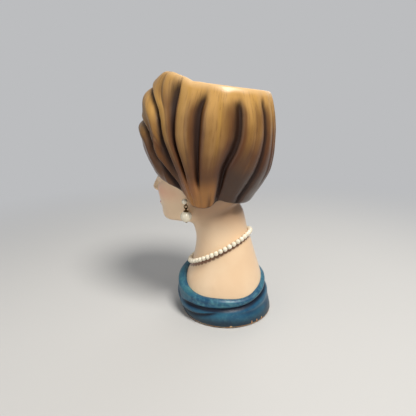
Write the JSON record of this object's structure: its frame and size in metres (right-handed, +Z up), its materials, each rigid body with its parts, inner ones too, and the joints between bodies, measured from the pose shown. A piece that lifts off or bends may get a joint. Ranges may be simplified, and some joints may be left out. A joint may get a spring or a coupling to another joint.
{
  "type": "head planter",
  "caption": "Hollow ceramic planter shaped as a woman's head and shoulders, open at the top of the hair, with a strung pearl necklace and swinging pearl drop earrings.",
  "frame": {"origin": "centre of the flat foot, on the surface it stands on", "axes": "+Z up; the face looks along -Y; the head's own left is +X"},
  "size_m": [0.0894, 0.1074, 0.1979],
  "materials": {
    "skin_glaze": "satin cream-peach glaze",
    "hair_glaze": "gloss brown glaze, tan on the locks and dark in the furrows",
    "dress_glaze": "satin teal-blue glaze",
    "pearl": "cream imitation pearl",
    "antique_brass": "dark aged brass",
    "thread": "twisted beading thread"
  },
  "bodies": {
    "vase": {"vase_casting": "skin_glaze", "hair": "hair_glaze", "dress_wrap": "dress_glaze", "necklace_pearl_01": "pearl", "necklace_pearl_02": "pearl", "necklace_pearl_03": "pearl", "necklace_pearl_04": "pearl", "necklace_pearl_05": "pearl", "necklace_pearl_06": "pearl", "necklace_pearl_07": "pearl", "necklace_pearl_08": "pearl", "necklace_pearl_09": "pearl", "necklace_pearl_10": "pearl", "necklace_pearl_11": "pearl", "necklace_pearl_12": "pearl", "necklace_pearl_13": "pearl", "necklace_pearl_14": "pearl", "necklace_pearl_15": "pearl", "necklace_pearl_16": "pearl", "necklace_pearl_17": "pearl", "necklace_pearl_18": "pearl", "necklace_pearl_19": "pearl", "necklace_pearl_20": "pearl", "necklace_pearl_21": "pearl", "necklace_pearl_22": "pearl", "necklace_pearl_23": "pearl", "necklace_pearl_24": "pearl", "necklace_pearl_25": "pearl", "necklace_pearl_26": "pearl", "necklace_pearl_27": "pearl", "necklace_pearl_28": "pearl", "necklace_pearl_29": "pearl", "necklace_pearl_30": "pearl", "necklace_pearl_31": "pearl", "necklace_pearl_32": "pearl", "necklace_pearl_33": "pearl", "necklace_pearl_34": "pearl", "necklace_pearl_35": "pearl", "necklace_pearl_36": "pearl", "necklace_pearl_37": "pearl", "necklace_pearl_38": "pearl", "necklace_pearl_39": "pearl", "necklace_pearl_40": "pearl", "necklace_pearl_41": "pearl", "necklace_pearl_42": "pearl", "necklace_pearl_43": "pearl", "necklace_thread": "thread", "necklace_knot": "thread", "left_ear_wire": "antique_brass", "left_stud_pearl": "pearl", "right_ear_wire": "antique_brass", "right_stud_pearl": "pearl"},
    "left_link": {"left_link": "antique_brass"},
    "left_drop": {"left_drop_cap": "antique_brass", "left_drop_pearl": "pearl"},
    "right_link": {"right_link": "antique_brass"},
    "right_drop": {"right_drop_cap": "antique_brass", "right_drop_pearl": "pearl"}
  },
  "joints": [
    {"name": "left_link_swing", "type": "hinge", "parent": "vase", "child": "left_link", "pos_m": [0.03055, -0.024, 0.09772], "axis": [1, 0, 0], "range_deg": [-35, 35]},
    {"name": "left_drop_swing", "type": "hinge", "parent": "left_link", "child": "left_drop", "pos_m": [0.03055, -0.024, 0.0956], "axis": [0, -1, 0], "range_deg": [-10, 45]},
    {"name": "right_link_swing", "type": "hinge", "parent": "vase", "child": "right_link", "pos_m": [-0.03055, -0.024, 0.09772], "axis": [1, 0, 0], "range_deg": [-35, 35]},
    {"name": "right_drop_swing", "type": "hinge", "parent": "right_link", "child": "right_drop", "pos_m": [-0.03055, -0.024, 0.0956], "axis": [0, 1, 0], "range_deg": [-10, 45]}
  ]
}
